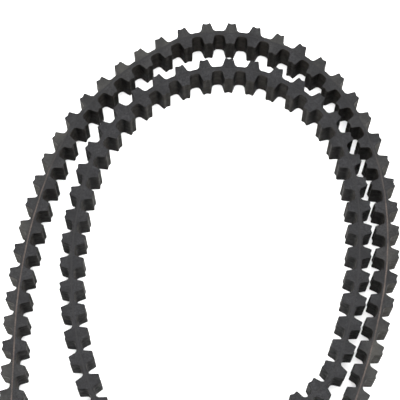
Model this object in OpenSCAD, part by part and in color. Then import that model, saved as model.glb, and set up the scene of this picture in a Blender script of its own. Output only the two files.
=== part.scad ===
// Endless double-sided rubber track, folded double and curled into a C, standing on its edge.
// Origin: centre of the track's footprint, on the surface it stands on. +Z is across the belt's width.

/* [Belt] */
// Distance from one lug to the next along the belt
pitch = 20; // [19:0.5:24]
// Number of lugs on each of the twelve stretches
links_per_stretch = 8; // [8:1:10]
// Width of the belt, which is the height it stands
belt_w = 30; // [20:1:60]
// Thickness of the belt between the lugs
belt_t = 4.2; // [3:0.1:5]
// Thickness of the layer that holds the tension cords
ply_t = 1.2; // [0.6:0.1:1.6]

/* [Lugs] */
// Height of a lug above the belt
lug_h = 7.9; // [6:0.1:8.4]
// Length of a lug where it meets the belt, fillets included
lug_base = 16; // [14:0.1:16.5]
// Length of a lug at its tip
lug_tip = 7.2; // [6:0.1:8.5]
// Distance between the two ridges of a lug's tip
ridge_gap = 5.6; // [4:0.1:6.5]
// Depth of the groove between the two ridges
groove_d = 1; // [0.4:0.1:1.5]
// Radius of the fillet at a lug's root
root_r = 3; // [2:0.1:3.4]

/* [Clearances] */
// Gap at the webs where two stretches meet
web_gap = 0.6; // [0.4:0.1:0.8]
// Gap at the one web where the loop is left open
open_gap = 1.2; // [0.6:0.1:1.6]
// How far the cord layer's edges lie inside the belt's edges
ply_recess = 0.25; // [0.1:0.05:0.6]

/* [Hidden] */
// The folded loop, clockwise from the far side: [radius in pitches, degrees turned clockwise].
// A straight is [length in pitches, 0]. The two CLOSING straights take the length that closes the loop.
CLOSING = [0, 0];
LOOP = [
    // outer strand, down the right side
    [6.3, 56], [9.75, 29], [15, 16], [26, 10], [3, 0],
    // right-hand end loop
    [3.2, 33], [1.7, 153], [3.2, 34], CLOSING,
    // inner strand, up the right side, over the top and down the left side
    [3.4, -42], [17, -20], [9.7, -20], [5.1, -71], [5.65, -37], [6.75, -36], [15, -23], [14.2, -15],
    // left-hand end loop
    [3, 30], [1.65, 140], [3.05, 33], CLOSING,
    // outer strand, up the left side
    [22.3, 18], [10, 46], [4.3, 26]
];
BENDS = len(LOOP);
STRETCHES = 12;
LINKS = STRETCHES * links_per_stretch;
// The open web is where this stretch ends and the next one begins
OPEN_AFTER = 4;
// Samples of a web's curve, as fractions of its length
WEB_SAMPLES = [0.25, 0.5, 0.75];
FILLET_STEPS = 4;
// The fillet turns from the belt's surface to this direction, seen from its centre
FILLET_END = 197;
EDGE_ROUND = 0.5;
RUBBER = "#2e2e30";
COVER = "#343436";
CORD = "#7a6a60";

function sum_of(list, count) =
    count == 0 ? 0 : count == 1 ? list[0] : list[count - 1] + sum_of(list, count - 1);
function unit(heading) = [cos(heading), sin(heading)];

// Heading at the start of each bend, from 0 along +X at the far side
HEADINGS = [for (i = [0 : BENDS]) -sum_of([for (bend = LOOP) bend[1]], i)];

// Where a bend leads from its start, after a distance along it
function turned(bend, distance) = bend[1] == 0 ? 0 : distance / (sign(bend[1]) * bend[0]) * 180 / PI;
function run(bend, heading, distance) =
    bend[1] == 0 ? distance * unit(heading)
    : let (r = sign(bend[1]) * bend[0], end = heading - turned(bend, distance))
        r * [sin(heading) - sin(end), cos(end) - cos(heading)];
function arc_length(bend) = bend[1] == 0 ? bend[0] : bend[0] * abs(bend[1]) * PI / 180;

// The two closing straights bring the loop back to its start
CLOSERS = [for (i = [0 : BENDS - 1]) if (LOOP[i] == CLOSING) i];
MISS = -sum_of([for (i = [0 : BENDS - 1]) run(LOOP[i], HEADINGS[i], arc_length(LOOP[i]))], BENDS);
function cross2(a, b) = a[0] * b[1] - a[1] * b[0];
FIRST = unit(HEADINGS[CLOSERS[0]]);
SECOND = unit(HEADINGS[CLOSERS[1]]);
CLOSER_LENGTHS = [cross2(MISS, SECOND), cross2(FIRST, MISS)] / cross2(FIRST, SECOND);
CLOSED = [for (i = [0 : BENDS - 1])
    i == CLOSERS[0] ? [CLOSER_LENGTHS[0], 0] : i == CLOSERS[1] ? [CLOSER_LENGTHS[1], 0] : LOOP[i]];
LENGTHS = [for (bend = CLOSED) arc_length(bend)];
STARTS = [for (i = [0 : BENDS]) sum_of(LENGTHS, i)];
CORNERS = [for (i = 0, at = [0, 0]; i < BENDS;
    at = at + run(CLOSED[i], HEADINGS[i], LENGTHS[i]), i = i + 1) at];
// One pitch of the loop above, in millimetres, so that the links fill the loop exactly
LOOP_PITCH = LINKS * pitch / STARTS[BENDS];

// A frame is [position, heading]; its left-hand side is the track's outer side
function frame_at(distance) =
    let (
        d = distance / LOOP_PITCH,
        i = max([for (n = [0 : BENDS - 1]) if (STARTS[n] <= d) n]),
        into = d - STARTS[i]
    )
        [LOOP_PITCH * (CORNERS[i] + run(CLOSED[i], HEADINGS[i], into)), HEADINGS[i] - turned(CLOSED[i], into)];
function place(frame, along, out) =
    frame[0] + along * unit(frame[1]) + out * unit(frame[1] + 90);

// Each link is straight under its lugs
LINK_FRAMES = [for (i = [0 : LINKS - 1]) frame_at((i + 0.5) * pitch)];
function link(i) = LINK_FRAMES[(i + LINKS) % LINKS];

// The web after link i, as a smooth curve from one lug's root to the next
function web(i, t) =
    let (
        a = place(link(i), lug_base / 2, 0),
        b = place(link(i + 1), -lug_base / 2, 0),
        pull = norm(b - a),
        from = pull * unit(link(i)[1]),
        to = pull * unit(link(i + 1)[1]),
        point = (2 * t^3 - 3 * t^2 + 1) * a + (t^3 - 2 * t^2 + t) * from
            + (3 * t^2 - 2 * t^3) * b + (t^3 - t^2) * to,
        way = 6 * (t^2 - t) * (a - b) + (3 * t^2 - 4 * t + 1) * from + (3 * t^2 - 2 * t) * to
    ) [point, atan2(way[1], way[0])];

// Half of the gap where stretch k ends, as a fraction of the web's length
function half_gap(k) =
    ((k % STRETCHES) == OPEN_AFTER ? open_gap : web_gap) / 2 / (pitch - lug_base);

// Frames along stretch k, counted from 1, from mid-web to mid-web
function first_link(k) = (k - 1) * links_per_stretch;
function stretch_frames(k) =
    let (first = first_link(k), last = first + links_per_stretch - 1) [
        web(first - 1, 0.5 + half_gap(k - 1 + STRETCHES)),
        web(first - 1, WEB_SAMPLES[2]),
        for (i = [first : last]) each [
            [place(link(i), -lug_base / 2, 0), link(i)[1]],
            [place(link(i), lug_base / 2, 0), link(i)[1]],
            if (i < last) each [for (t = WEB_SAMPLES) web(i, t)]
        ],
        web(last, WEB_SAMPLES[0]),
        web(last, 0.5 - half_gap(k))
    ];

// A lug's outline from its root, [along, height], and its mirror image
HALF_LUG = [
    for (n = [0 : FILLET_STEPS])
        let (a = 270 + (FILLET_END - 270) * n / FILLET_STEPS)
            [lug_base / 2 + root_r * cos(a), root_r * (1 + sin(a))],
    [lug_tip / 2, lug_h - EDGE_ROUND],
    [ridge_gap / 2, lug_h]
];
LUG_OUTLINE = concat(
    HALF_LUG,
    [[0, lug_h - groove_d]],
    [for (n = [len(HALF_LUG) - 1 : -1 : 0]) [-HALF_LUG[n][0], HALF_LUG[n][1]]]
);
function lug_points(i, side) = [for (q = LUG_OUTLINE) place(link(i), q[0], side * (belt_t / 2 + q[1]))];

// The footprint's centre, taken out of every point
FOOTPRINT = [for (i = [0 : LINKS - 1], side = [-1, 1]) each lug_points(i, side)];
CENTRE = [for (axis = [0, 1])
    (min([for (q = FOOTPRINT) q[axis]]) + max([for (q = FOOTPRINT) q[axis]])) / 2];

// A layer of the belt along stretch k, between two distances from the belt's middle
module layer(k, low, high, inset) {
    frames = stretch_frames(k);
    count = len(frames);
    translate([-CENTRE[0], -CENTRE[1], inset])
        linear_extrude(belt_w - 2 * inset)
            polygon(concat(
                [for (f = frames) place(f, 0, high)],
                [for (n = [count - 1 : -1 : 0]) place(frames[n], 0, low)]
            ));
}

// The lugs of stretch k on one side of the belt
module lugs(k, side) {
    translate([-CENTRE[0], -CENTRE[1], 0])
        for (i = [first_link(k) : first_link(k) + links_per_stretch - 1])
            linear_extrude(belt_w)
                polygon(lug_points(i, side));
}

module tread_lugs(k) {
    color(RUBBER) lugs(k, 1);
}

module drive_lugs(k) {
    color(RUBBER) lugs(k, -1);
}

module outer_cover(k) {
    color(COVER) layer(k, ply_t / 2, belt_t / 2, 0);
}

module inner_cover(k) {
    color(COVER) layer(k, -belt_t / 2, -ply_t / 2, 0);
}

module cord_ply(k) {
    color(CORD) layer(k, -ply_t / 2, ply_t / 2, ply_recess);
}

function name_of(layer, k) = str(layer, k < 10 ? "_0" : "_", k);
LAYERS = ["tread_lugs", "drive_lugs", "outer_cover", "inner_cover", "cord_ply"];

for (k = [1 : STRETCHES]) {
    tread_lugs(k);
    drive_lugs(k);
    outer_cover(k);
    inner_cover(k);
    cord_ply(k);
}
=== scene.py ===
import math
import random

import bpy
import numpy as np
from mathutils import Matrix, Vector, noise


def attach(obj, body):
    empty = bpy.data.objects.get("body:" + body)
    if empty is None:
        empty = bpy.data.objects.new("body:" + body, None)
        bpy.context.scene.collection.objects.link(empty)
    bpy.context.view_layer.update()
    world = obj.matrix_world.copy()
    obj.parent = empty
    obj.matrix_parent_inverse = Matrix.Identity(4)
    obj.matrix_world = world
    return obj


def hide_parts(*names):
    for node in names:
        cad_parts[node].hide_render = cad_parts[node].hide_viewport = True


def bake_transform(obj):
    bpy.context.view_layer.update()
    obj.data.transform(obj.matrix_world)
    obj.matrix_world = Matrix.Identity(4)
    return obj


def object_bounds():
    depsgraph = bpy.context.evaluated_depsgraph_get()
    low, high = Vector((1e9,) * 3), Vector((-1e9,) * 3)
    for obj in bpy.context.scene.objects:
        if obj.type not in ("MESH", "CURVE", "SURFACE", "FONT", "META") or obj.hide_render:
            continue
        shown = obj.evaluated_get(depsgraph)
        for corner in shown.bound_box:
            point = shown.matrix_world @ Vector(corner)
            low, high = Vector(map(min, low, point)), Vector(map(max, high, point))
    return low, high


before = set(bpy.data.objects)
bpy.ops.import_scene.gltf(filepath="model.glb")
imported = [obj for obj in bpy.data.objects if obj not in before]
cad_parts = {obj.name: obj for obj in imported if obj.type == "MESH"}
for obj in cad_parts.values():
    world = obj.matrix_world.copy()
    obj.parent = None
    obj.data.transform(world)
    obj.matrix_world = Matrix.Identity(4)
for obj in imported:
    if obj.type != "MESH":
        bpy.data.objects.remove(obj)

cad_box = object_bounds()
random.seed(7)

# ---------------------------------------------------------------- sizes, in metres
LOW, HIGH = Vector(cad_box[0]), Vector(cad_box[1])
CENTRE = (LOW + HIGH) / 2
WIDTH = HIGH.z - LOW.z
FOLD_LENGTH = HIGH.y - LOW.y
STRETCHES = 12
PER_STRETCH = 8
BELT_T = 0.0042
PLY_T = 0.0012

# The lugs
LUG_H = 0.0079
LUG_BASE = 0.0160
LUG_TIP = 0.0072
RIDGE_GAP = 0.0056
GROOVE_D = 0.0010
TIP_DROP = 0.0005
TIP_SOFTNESS = 0.0008
ROOT_R = 0.0030
ROOT_END = math.radians(197)

# The moulded sides: the rounding of their rims, and how far and how finely they are uneven
EDGE_R = 0.00045
MOULD_WOBBLE = 0.00008
LUMPS_PER_METRE = 240

# The cords at the belt's cut edges: thickness, length of one twist, strands and how far they stand out,
# and how far the cords and the layer round them lie below the edge
CORD_D = 0.00115
CORD_LAY = 0.0060
CORD_STRANDS = 3
STRAND_DEPTH = 0.14
CORD_SINK = 0.00003
PLY_SINK = 0.00014
# From the far side of the fold, where the cords start to show and over what length, as shares of the
# fold's length. On the inner strand they show this much.
CORD_BROWN_FROM = 0.21
CORD_BROWN_OVER = 0.22
CORD_BROWN_INNER = 0.05

# How squarely the tread side looks away from the fold's middle, as a cosine, where painted light on its
# moulded faces and scuffs on its sawn edges begin and where they are strongest. The drive side gets this
# share of them.
FACING_FROM = -0.1
FACING_TO = 0.6
DRIVE_FACING_SHARE = 0.3

# The web after this stretch stays with it, and ends a little short of the next stretch, as a share of the
# web's length, to leave room for the motion
OPEN_AFTER = 4
OPEN_WEB_REACH = 0.91

# Steps of the meshes: along a web, along a cord under one lug, and round a cord
WEB_STEPS = 6
CORD_STEPS = 16
CORD_SIDES = 12
SHARP_ANGLE = math.radians(38)
# A face that looks up or down at least this much belongs to one of the belt's flat edges
FLAT_EDGE = 0.95


# ---------------------------------------------------------------- the links, read from the frame
def merged(mesh):
    """The mesh's own points, with the copies that the import makes at sharp edges joined."""
    tolerance = 2e-6
    points = np.array([v.co for v in mesh.vertices])
    keys = np.round(points / tolerance).astype(np.int64)
    _, first, same = np.unique(keys, axis=0, return_index=True, return_inverse=True)
    faces = [[same.ravel()[v] for v in p.vertices] for p in mesh.polygons]
    return points[first], faces


def loose_parts(mesh):
    """One array of points for each separate solid of a node."""
    points, faces = merged(mesh)
    group = np.arange(len(points))

    def root(n):
        while group[n] != n:
            group[n] = group[group[n]]
            n = group[n]
        return n

    for face in faces:
        for corner in face[1:]:
            group[root(corner)] = root(face[0])
    roots = np.array([root(n) for n in range(len(points))])
    return [points[roots == r] for r in sorted(set(roots))]


def lug_middles(node):
    """Where each lug of a node stands, seen from above."""
    return [part[:, :2].mean(axis=0) for part in loose_parts(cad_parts[node].data)]


def read_links():
    """[(stretch, centre, out)]: out points from a link's drive lug to its tread lug."""
    found = []
    for k in range(1, STRETCHES + 1):
        drive = lug_middles(f"drive_lugs_{k:02d}")
        for tread in lug_middles(f"tread_lugs_{k:02d}"):
            back = min(drive, key=lambda middle: np.linalg.norm(middle - tread))
            found.append((k, (tread + back) / 2, (tread - back) / np.linalg.norm(tread - back)))
    return found


def along(out):
    """The way the belt runs, a quarter turn clockwise from its outer side."""
    return np.array([out[1], -out[0]])


def outward(way):
    """The belt's outer side, a quarter turn anticlockwise from the way it runs."""
    return np.array([-way[1], way[0]])


def in_order(found):
    """[(centre, out)] of the endless belt's links, each followed by its neighbour, from stretch 1 on."""
    spacing = np.median([sorted(np.linalg.norm(a[1] - b[1]) for b in found)[1] for a in found])

    def after(a):
        ahead = a[1] + spacing * along(a[2])
        return min((b for b in found if b is not a), key=lambda b: np.linalg.norm(b[1] - ahead))

    chain = [found[0]]
    while len(chain) < len(found):
        chain.append(after(chain[-1]))
    start = next(i for i, a in enumerate(chain) if a[0] == 1 and chain[i - 1][0] == STRETCHES)
    chain = chain[start:] + chain[:start]
    return [(centre, out) for _, centre, out in chain]


LINKS = in_order(read_links())
PITCH = float(np.median([np.linalg.norm(LINKS[i][0] - LINKS[i - 1][0]) for i in range(len(LINKS))]))
# Each lug cures and wears a little differently
TONES = [random.uniform(0.0, 1.0) for _ in LINKS]


def link(i):
    return LINKS[i % len(LINKS)]


def link_tone(i):
    return TONES[i % len(LINKS)]


def link_point(i, u, v):
    """The point at u along the belt and v outwards from the middle of link i."""
    centre, out = link(i)
    return centre + u * along(out) + v * out


def web_frame(i, t):
    """Point and outward direction at fraction t of the web after link i, on a smooth curve."""
    a, b = link_point(i, LUG_BASE / 2, 0), link_point(i + 1, -LUG_BASE / 2, 0)
    pull = np.linalg.norm(b - a)
    start = pull * along(link(i)[1])
    end = pull * along(link(i + 1)[1])
    point = ((2 * t**3 - 3 * t**2 + 1) * a + (t**3 - 2 * t**2 + t) * start
             + (3 * t**2 - 2 * t**3) * b + (t**3 - t**2) * end)
    way = 6 * (t**2 - t) * (a - b) + (3 * t**2 - 4 * t + 1) * start + (3 * t**2 - 2 * t) * end
    return point, outward(way / np.linalg.norm(way))


def smooth_step(value, low, high):
    t = min(1.0, max(0.0, (value - low) / (high - low)))
    return t * t * (3 - 2 * t)


def facing_out(point, out):
    """1 where the tread side looks away from the fold's middle, as on the outer strand, down to 0."""
    away = np.array(point) - np.array([CENTRE.x, CENTRE.y])
    return smooth_step(float(away @ out) / np.linalg.norm(away), FACING_FROM, FACING_TO)


# ---------------------------------------------------------------- the lug's profile
def softened(points, corners):
    """The open outline with the numbered corners turned into short curves."""
    steps = 4
    most = 0.45    # of the distance to the next point
    out = []
    for n, p in enumerate(points):
        p = np.array(p)
        if n not in corners:
            out.append(p)
            continue
        before, after = np.array(points[n - 1]) - p, np.array(points[n + 1]) - p
        a = p + before / np.linalg.norm(before) * min(TIP_SOFTNESS, most * np.linalg.norm(before))
        b = p + after / np.linalg.norm(after) * min(TIP_SOFTNESS, most * np.linalg.norm(after))
        for s in range(steps + 1):
            t = s / steps
            out.append((1 - t)**2 * a + 2 * t * (1 - t) * p + t**2 * b)
    return out


def lug_profile():
    """(u, h) along one lug: root fillet, flank, two rounded ridges with a groove, and back down."""
    steps = 7
    root_start = math.radians(270)
    half = []
    for n in range(steps + 1):
        a = root_start + (ROOT_END - root_start) * n / steps
        half.append((LUG_BASE / 2 + ROOT_R * math.cos(a), ROOT_R * (1 + math.sin(a))))
    half += [(LUG_TIP / 2, LUG_H - TIP_DROP), (RIDGE_GAP / 2, LUG_H)]
    whole = half + [(0.0, LUG_H - GROOVE_D)] + [(-u, h) for u, h in reversed(half)]
    tip_corners = range(len(half) - 2, len(half) + 3)
    return [tuple(p) for p in softened(whole, tip_corners)][::-1]


PROFILE = lug_profile()


# ---------------------------------------------------------------- lofting one side of the belt
def station(point, out, u, v, side, height, tone):
    """One cut across the belt: its surface, the cord layer under it, and the layers that colour the rubber
    there, painted light among them.
    """
    foot = point + u * along(out)
    # Share of the painted light on outward faces, and of the sawn-edge scuffs, that this side gets
    facing_share = 1.0 if side > 0 else DRIVE_FACING_SHARE
    return {"surface": foot + side * v * out, "under": foot + side * PLY_T / 2 * out,
            "height": height, "tone": tone, "facing": facing_share * facing_out(foot, out)}


def link_stations(i, side):
    centre, out = link(i)
    return [station(centre, out, u, BELT_T / 2 + h, side, h / LUG_H, link_tone(i)) for u, h in PROFILE]


def web_stations(i, side, reach=1.0):
    cuts = []
    for n in range(WEB_STEPS + 1):
        t = reach * n / WEB_STEPS
        tone = (1 - t) * link_tone(i) + t * link_tone(i + 1)
        cuts.append(station(*web_frame(i, t), 0, BELT_T / 2, side, 0.0, tone))
    return cuts


def ring_levels():
    """(inset, z, rim, cut) up the belt's width: rounded rims between the cut edges and the moulded side."""
    steps = 3
    rise = []
    for n in range(steps + 1):
        a = math.pi / 2 * n / steps
        inset, z = EDGE_R * (1 - math.sin(a)), EDGE_R * (1 - math.cos(a))
        rise.append((inset, z, math.sin(2 * a), 1 - n / steps))
    middle = [(0.0, WIDTH * share, 0.0, 0.0) for share in (0.06, 0.2, 0.4, 0.6, 0.8, 0.94)]
    return rise + middle + [(inset, WIDTH - z, rim, cut) for inset, z, rim, cut in reversed(rise)]


LEVELS = ring_levels()


def unevenness(x, y, z):
    """0 to 1, over a few millimetres."""
    return 0.5 + 0.5 * noise.noise(Vector((x, y, z)) * LUMPS_PER_METRE)


def loft(cuts, side):
    """Points, faces and layers of one side of the belt along its cuts, closed at both ends."""
    surface = np.array([c["surface"] for c in cuts])
    ways = np.gradient(surface, axis=0)
    ways /= np.linalg.norm(ways, axis=1)[:, None]
    inward = np.stack([ways[:, 1], -ways[:, 0]], axis=1) * side
    points, layers = [], {key: [] for key in ("rim", "cut", "height", "tone", "facing")}
    for n, c in enumerate(cuts):
        ring = [(*c["under"], LOW.z, 0.0, 1.0)]
        for inset, z, rim, cut in LEVELS:
            rough = MOULD_WOBBLE * unevenness(*surface[n], z) if cut == 0.0 else 0.0
            ring.append((*(surface[n] + (inset + rough) * inward[n]), LOW.z + z, rim, cut))
        ring.append((*c["under"], HIGH.z, 0.0, 1.0))
        for x, y, z, rim, cut in ring:
            points.append((x, y, z))
            layers["rim"].append(rim)
            layers["cut"].append(cut)
            for key in ("height", "tone", "facing"):
                layers[key].append(c[key])
    size = len(LEVELS) + 2
    faces = []
    for n in range(len(cuts) - 1):
        for m in range(size):
            a, b = n * size + m, n * size + (m + 1) % size
            quad = [a, b, b + size, a + size]
            faces.append(quad if side > 0 else quad[::-1])
    start, end = list(range(size)), [(len(cuts) - 1) * size + m for m in range(size)]
    faces += [start[::-1], end] if side > 0 else [start, end[::-1]]
    return points, faces, layers


# ---------------------------------------------------------------- the cord layer
def web_frames(i, reach=1.0):
    """(point, out, distance) along the web after link i."""
    frames = []
    for n in range(2 * WEB_STEPS + 1):
        t = reach * n / (2 * WEB_STEPS)
        frames.append((*web_frame(i, t), i * PITCH + LUG_BASE / 2 + t * (PITCH - LUG_BASE)))
    return frames


def cord_frames(first, last):
    """(point, out, distance) from the root of link first's lug to that of link last's, webs included."""
    frames = []
    for i in range(first, last + 1):
        centre, out = link(i)
        for n in range(CORD_STEPS + 1):
            u = LUG_BASE * (n / CORD_STEPS - 0.5)
            frames.append((centre + u * along(out), out, i * PITCH + u))
        if i < last:
            frames += web_frames(i)[1:-1]
    return frames


def swept(frames, outline):
    """Points and faces of a closed tube along the frames: outline(distance) gives its (v, z) points."""
    points, faces = [], []
    for point, out, distance in frames:
        ring = outline(distance)
        points += [(*(point + v * out), z) for v, z in ring]
    size = len(ring)
    for n in range(len(frames) - 1):
        for m in range(size):
            a, b = size * n + m, size * n + (m + 1) % size
            faces.append([a, a + size, b + size, b])
    last = size * (len(frames) - 1)
    faces += [list(range(size)), [last + m for m in reversed(range(size))]]
    return points, faces


def ply_outline(distance):
    """The layer round the cords, the same at every distance."""
    low, high = LOW.z + PLY_SINK, HIGH.z - PLY_SINK
    return [(-PLY_T / 2, low), (-PLY_T / 2, high), (PLY_T / 2, high), (PLY_T / 2, low)]


def twisted_outline(z):
    """The outline of a twisted cord whose middle is at height z."""
    def outline(distance):
        ring = []
        for n in range(CORD_SIDES):
            a = 2 * math.pi * n / CORD_SIDES
            lobe = math.cos(CORD_STRANDS * (a - 2 * math.pi * distance / CORD_LAY))
            r = CORD_D / 2 * (1 - STRAND_DEPTH + STRAND_DEPTH * lobe)
            ring.append((r * math.cos(-a), z + r * math.sin(-a)))
        return ring
    return outline


def cord_brownness(point, out):
    """How far the cords show: on the outer strand, away from the far side of the fold."""
    from_far = (HIGH.y - point[1]) / FOLD_LENGTH
    near = smooth_step(from_far, CORD_BROWN_FROM, CORD_BROWN_FROM + CORD_BROWN_OVER)
    return near * (CORD_BROWN_INNER + (1 - CORD_BROWN_INNER) * facing_out(point, out))


def joined(parts):
    """Several (points, faces, layers) as one."""
    points, faces, layers = [], [], {}
    for p, f, extra in parts:
        shift = len(points)
        points += p
        faces += [[v + shift for v in face] for face in f]
        for key, values in extra.items():
            layers.setdefault(key, []).extend(values)
    return points, faces, layers


def cord_data(frames):
    """The cord layer with a twisted cord exposed along each of its cut edges."""
    low_cord = twisted_outline(LOW.z + CORD_SINK + CORD_D / 2)
    high_cord = twisted_outline(HIGH.z - CORD_SINK - CORD_D / 2)
    parts = []
    for outline in (ply_outline, low_cord, high_cord):
        points, faces = swept(frames, outline)
        count = len(points) // len(frames)
        cord_brown = [cord_brownness(*frames[n // count][:2]) for n in range(len(points))]
        parts.append((points, faces, {"cord_brown": cord_brown}))
    return joined(parts)


# ---------------------------------------------------------------- materials
class Recipe:
    """A procedural material in the making."""

    def __init__(self, name):
        self.material = bpy.data.materials.new(name)
        self.material.use_nodes = True
        self.nodes = self.material.node_tree.nodes
        self.links = self.material.node_tree.links
        self.shader = self.nodes["Principled BSDF"]
        self.coords = self.nodes.new("ShaderNodeTexCoord").outputs["Object"]
        self.normal = None

    def grain(self, scale, detail):
        texture = self.nodes.new("ShaderNodeTexNoise")
        texture.inputs["Scale"].default_value = scale
        texture.inputs["Detail"].default_value = detail
        self.links.new(self.coords, texture.inputs["Vector"])
        return texture.outputs["Fac"]

    def patches(self, scale, detail, band, to=(0.0, 1.0)):
        """Noise, with its values in the band stretched to the range to."""
        spread = self.nodes.new("ShaderNodeMapRange")
        for key, value in zip(("From Min", "From Max", "To Min", "To Max"), (*band, *to)):
            spread.inputs[key].default_value = value
        self.links.new(self.grain(scale, detail), spread.inputs["Value"])
        return spread.outputs["Result"]

    def layer(self, name, power=1.0, inverted=False):
        """A point layer, or one less it if inverted, to a power."""
        attribute = self.nodes.new("ShaderNodeAttribute")
        attribute.attribute_name = name
        start = self.nodes.new("ShaderNodeMapRange")
        start.inputs["To Min"].default_value = 1.0 if inverted else 0.0
        start.inputs["To Max"].default_value = 0.0 if inverted else 1.0
        shaped = self.nodes.new("ShaderNodeMath")
        shaped.operation = "POWER"
        shaped.inputs[1].default_value = power
        self.links.new(attribute.outputs["Fac"], start.inputs["Value"])
        self.links.new(start.outputs["Result"], shaped.inputs[0])
        return shaped.outputs["Value"]

    def product(self, first, *others):
        """Values and numbers multiplied, and kept between 0 and 1."""
        result = first
        for other in others:
            times = self.nodes.new("ShaderNodeMath")
            times.operation = "MULTIPLY"
            times.use_clamp = True
            self.links.new(result, times.inputs[0])
            if isinstance(other, float):
                times.inputs[1].default_value = other
            else:
                self.links.new(other, times.inputs[1])
            result = times.outputs["Value"]
        return result

    def blended(self, base, over, factor):
        """Colour base with colour over laid on it by factor."""
        mix = self.nodes.new("ShaderNodeMix")
        mix.data_type = "RGBA"
        for socket, value in ((mix.inputs["A"], base), (mix.inputs["B"], over)):
            if isinstance(value, tuple):
                socket.default_value = (*value, 1.0)
            else:
                self.links.new(value, socket)
        self.links.new(factor, mix.inputs["Factor"])
        return mix.outputs["Result"]

    def bump(self, scale, detail, distance, strength):
        """Adds noise bumps to those so far: distance is in metres."""
        bump = self.nodes.new("ShaderNodeBump")
        bump.inputs["Distance"].default_value = distance
        bump.inputs["Strength"].default_value = strength
        self.links.new(self.grain(scale, detail), bump.inputs["Height"])
        if self.normal is not None:
            self.links.new(self.normal, bump.inputs["Normal"])
        self.normal = bump.outputs["Normal"]

    def finished(self, colour, specular=None):
        """The material, once its colour, gloss and bumps are on the shader."""
        self.links.new(colour, self.shader.inputs["Base Color"])
        if specular is not None:
            self.shader.inputs["Specular IOR Level"].default_value = specular
        if self.normal is not None:
            self.links.new(self.normal, self.shader.inputs["Normal"])
        return self.material


RUBBED = (0.028, 0.028, 0.028)
# Lug tips: painted light where they catch it, with some tread wear
TIP_LIGHT_AND_WEAR = (0.0175, 0.0160, 0.0138)
# Valley floors between lugs: painted light, with some dust
VALLEY_LIGHT_AND_DUST = (0.0290, 0.0258, 0.0215)
CORD_BLACK = (0.0108, 0.0108, 0.0115)
DARK_FIBRE = (0.034, 0.027, 0.024)
LIGHT_FIBRE = (0.072, 0.057, 0.050)


def moulded(name, black, grey, outward_light, outward_light_amount, tip_light_and_wear_amount, valley_light_and_dust_amount, specular):
    """The moulded skin: mottled black, with painted light on faces that look out of the fold, tips and
    valley floors lightened by painted light with some wear and dust, and rims rubbed grey.
    """
    skin = Recipe(name)
    mottle = skin.patches(scale=60, detail=6, band=(0.35, 0.65))
    colour = skin.blended(black, grey, skin.product(mottle, skin.layer("tone")))
    # Painted light: faces that look out of the fold are made lighter, as if lit from the open sides
    outward_light_patches = skin.patches(scale=230, detail=5, band=(0.30, 0.70), to=(0.45, 1.0))
    colour = skin.blended(colour, outward_light, skin.product(skin.layer("facing"), outward_light_patches, outward_light_amount))
    # Tips lighter than the flanks below, and valley floors lighter too: painted light, with some wear on the
    # tips and dust in the valleys
    height_light_patches = skin.patches(scale=210, detail=4, band=(0.35, 0.65), to=(0.45, 1.0))
    tip_light_and_wear = skin.product(skin.layer("height", power=4), height_light_patches, tip_light_and_wear_amount)
    colour = skin.blended(colour, TIP_LIGHT_AND_WEAR, tip_light_and_wear)
    valley_light_and_dust = skin.product(skin.layer("height", power=12, inverted=True), height_light_patches, valley_light_and_dust_amount)
    colour = skin.blended(colour, VALLEY_LIGHT_AND_DUST, valley_light_and_dust)
    wear = skin.patches(scale=420, detail=3, band=(0.40, 0.60), to=(0.10, 0.70))
    colour = skin.blended(colour, RUBBED, skin.product(skin.layer("rim"), wear))
    rough = skin.patches(scale=260, detail=5, band=(0.35, 0.65), to=(0.42, 0.62))
    skin.links.new(rough, skin.shader.inputs["Roughness"])
    skin.bump(scale=700, detail=4, distance=0.00010, strength=0.30)
    skin.bump(scale=3600, detail=2, distance=0.00003, strength=0.45)
    return skin.finished(colour, specular)


def cut_rubber(name, dark, light, scuffed, scuff_amount):
    """The belt's edges, sawn from a wider sleeve: dull, finely torn, and lighter on the outer strand."""
    edge = Recipe(name)
    torn = edge.patches(scale=950, detail=6, band=(0.36, 0.64))
    clouds = edge.patches(scale=75, detail=4, band=(0.35, 0.65), to=(0.25, 1.0))
    colour = edge.blended(dark, light, edge.product(torn, clouds))
    scuffs = edge.product(edge.layer("facing"), edge.layer("tone"), clouds, scuff_amount)
    colour = edge.blended(colour, scuffed, scuffs)
    rough = edge.patches(scale=500, detail=4, band=(0.35, 0.65), to=(0.68, 0.86))
    edge.links.new(rough, edge.shader.inputs["Roughness"])
    edge.bump(scale=420, detail=5, distance=0.00016, strength=0.35)
    edge.bump(scale=2600, detail=4, distance=0.00007, strength=0.55)
    return edge.finished(colour, specular=0.12)


def cord_edge(name):
    """The cords along the cut edges: brown fibres in places, near-black elsewhere, set by where they lie in
    the fold.
    """
    cord = Recipe(name)
    fibres = cord.patches(scale=1500, detail=3, band=(0.38, 0.62))
    brown = cord.blended(DARK_FIBRE, LIGHT_FIBRE, fibres)
    brown_patches = cord.patches(scale=90, detail=4, band=(0.35, 0.60), to=(0.45, 1.0))
    # Brown in patches where the cord layer's brown share is high, near-black elsewhere
    colour = cord.blended(CORD_BLACK, brown, cord.product(cord.layer("cord_brown"), brown_patches))
    cord.shader.inputs["Roughness"].default_value = 0.8
    cord.bump(scale=1800, detail=3, distance=0.00010, strength=0.6)
    return cord.finished(colour, specular=0.2)


def plain(name, colour, roughness):
    """An almost even colour, a little darker in wide patches."""
    surface = Recipe(name)
    darker = tuple(0.985 * c for c in colour)
    clouds = surface.patches(scale=3, detail=2, band=(0.3, 0.7))
    surface.shader.inputs["Roughness"].default_value = roughness
    return surface.finished(surface.blended(colour, darker, clouds))


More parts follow.
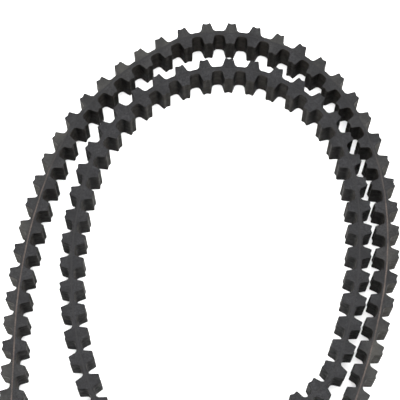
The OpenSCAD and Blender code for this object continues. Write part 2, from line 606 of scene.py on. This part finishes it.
# On both skins the brown-grey on faces that look out of the fold is painted light, and the lighter tips and
# valley floors are painted light with some wear and dust
TREAD_SKIN = moulded(
    "tread_skin",
    black=(0.0028, 0.0028, 0.0029),
    grey=(0.0092, 0.0091, 0.0090),
    outward_light=(0.042, 0.0385, 0.0325),
    outward_light_amount=0.75,
    tip_light_and_wear_amount=1.0,
    valley_light_and_dust_amount=0.5,
    specular=0.012,
)
# The drive skin's black and grey are darker than the tread skin's: painted shade, as the drive lugs face
# into the fold where little light reaches
DRIVE_SKIN_SHADED = moulded(
    "drive_skin_shaded",
    black=(0.0012, 0.0012, 0.0013),
    grey=(0.0036, 0.0036, 0.0037),
    outward_light=(0.040, 0.035, 0.030),
    outward_light_amount=0.40,
    tip_light_and_wear_amount=0.75,
    valley_light_and_dust_amount=0.7,
    specular=0.010,
)
SAWN = cut_rubber(
    "sawn_edge",
    dark=(0.0082, 0.0082, 0.0088),
    light=(0.0208, 0.0208, 0.0222),
    scuffed=(0.042, 0.0405, 0.0355),
    scuff_amount=0.65,
)
CORD = cord_edge("cord_edge")


# ---------------------------------------------------------------- the belt's pieces
def mesh_piece(name, points, faces, layers):
    """A smooth-shaded object whose named point layers say where it is worn or cut, where painted light falls
    on it and where its cords show brown.
    """
    mesh = bpy.data.meshes.new(name)
    mesh.from_pydata([tuple(p) for p in points], [], faces)
    mesh.update()
    for key, values in layers.items():
        layer = mesh.attributes.new(key, "FLOAT", "POINT")
        layer.data.foreach_set("value", np.array(values, dtype=np.float32))
    mesh.shade_smooth()
    mesh.set_sharp_from_angle(angle=SHARP_ANGLE)
    piece = bpy.data.objects.new(name, mesh)
    bpy.context.collection.objects.link(piece)
    even = piece.modifiers.new("even_normals", "WEIGHTED_NORMAL")
    even.keep_sharp = True
    return piece


def rubber_piece(name, data, skin):
    """A rubber piece with the moulded skin on its sides and sawn rubber on its two flat edges."""
    piece = mesh_piece(name, *data)
    piece.data.materials.append(skin)
    piece.data.materials.append(SAWN)
    for face in piece.data.polygons:
        face.material_index = 1 if abs(face.normal.z) > FLAT_EDGE else 0
    return piece


def cord_piece(name, frames):
    piece = mesh_piece(name, *cord_data(frames))
    piece.data.materials.append(CORD)
    return piece


def side_piece(k, side, name, skin, nodes):
    """All lugs of stretch k on one side, in one moulding with the cover that carries them."""
    first = (k - 1) * PER_STRETCH
    cuts = []
    for i in range(first, first + PER_STRETCH):
        cuts += link_stations(i, side)
        if i < first + PER_STRETCH - 1:
            cuts += web_stations(i, side)[1:-1]
    piece = rubber_piece(f"{name}_{k:02d}", loft(cuts, side), skin)
    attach(piece, f"stretch_{k:02d}")
    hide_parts(*[f"{node}_{k:02d}" for node in nodes])


def ply_piece(k):
    first = (k - 1) * PER_STRETCH
    piece = cord_piece(f"cord_layer_{k:02d}", cord_frames(first, first + PER_STRETCH - 1))
    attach(piece, f"stretch_{k:02d}")
    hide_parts(f"cord_ply_{k:02d}")


def web_pieces(k):
    """The web between stretch k and the next: it is baked in place on its own, or at the open web stays with
    k.
    """
    i = k * PER_STRETCH - 1
    bodies = (f"stretch_{k:02d}", f"stretch_{k % STRETCHES + 1:02d}")
    reach = OPEN_WEB_REACH if k == OPEN_AFTER else 1.0
    tread = loft(web_stations(i, 1, reach), 1)
    drive = loft(web_stations(i, -1, reach), -1)
    pieces = [
        rubber_piece(f"tread_web_{k:02d}", tread, TREAD_SKIN),
        rubber_piece(f"drive_web_{k:02d}", drive, DRIVE_SKIN_SHADED),
        cord_piece(f"cord_web_{k:02d}", web_frames(i, reach)),
    ]
    for piece in pieces:
        if k == OPEN_AFTER:
            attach(piece, bodies[0])
        else:
            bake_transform(piece)


for k in range(1, STRETCHES + 1):
    side_piece(k, 1, "tread_moulding", TREAD_SKIN, ("tread_lugs", "outer_cover"))
    side_piece(k, -1, "drive_moulding", DRIVE_SKIN_SHADED, ("drive_lugs", "inner_cover"))
    ply_piece(k)
    web_pieces(k)


# ---------------------------------------------------------------- floor, light and camera
def floor():
    size = 6.0
    drop = 0.0002
    corners = [(-size, -size, 0), (size, -size, 0), (size, size, 0), (-size, size, 0)]
    mesh = bpy.data.meshes.new("floor")
    mesh.from_pydata(corners, [], [[0, 1, 2, 3]])
    ground = bpy.data.objects.new("floor", mesh)
    bpy.context.collection.objects.link(ground)
    ground.location.z = LOW.z - drop
    mesh.materials.append(plain("floor_white", (0.93, 0.93, 0.93), 0.9))


def soft_light(name, place, size, power):
    """A round area light that faces the origin."""
    light = bpy.data.lights.new(name, "AREA")
    light.shape = "DISK"
    light.size = size
    light.energy = power
    lamp = bpy.data.objects.new(name, light)
    bpy.context.collection.objects.link(lamp)
    lamp.location = place
    lamp.rotation_euler = (-Vector(place)).to_track_quat("-Z", "Y").to_euler()


def sky(strength):
    world = bpy.data.worlds.new("tent")
    world.use_nodes = True
    background = world.node_tree.nodes["Background"]
    background.inputs["Color"].default_value = (1.0, 1.0, 1.0, 1.0)
    background.inputs["Strength"].default_value = strength
    bpy.context.scene.world = world


def camera():
    """Long lens, looking down at the far part of the fold from the near side."""
    elevation = math.radians(71)
    roll = math.radians(0.5)
    distance = 1.231
    aim = Vector((CENTRE.x - 0.0033, CENTRE.y + 0.0537, HIGH.z))
    look = Vector((0, math.cos(elevation), -math.sin(elevation)))
    data = bpy.data.cameras.new("camera")
    data.sensor_width = 36.0
    data.lens = 134.8
    data.clip_end = 20
    eye = bpy.data.objects.new("camera", data)
    bpy.context.collection.objects.link(eye)
    eye.location = aim - distance * look
    eye.rotation_euler = look.to_track_quat("-Z", "Y").to_euler()
    eye.rotation_euler.rotate_axis("Z", roll)
    bpy.context.scene.camera = eye


bpy.context.scene.view_settings.view_transform = "Standard"
floor()
sky(strength=0.83)
soft_light("overhead", (0.0, -0.15, 2.4), size=2.0, power=138)
soft_light("left_side", (-2.4, -0.1, 0.9), size=1.0, power=44)
soft_light("right_side", (2.4, -0.1, 0.9), size=1.0, power=44)
camera()
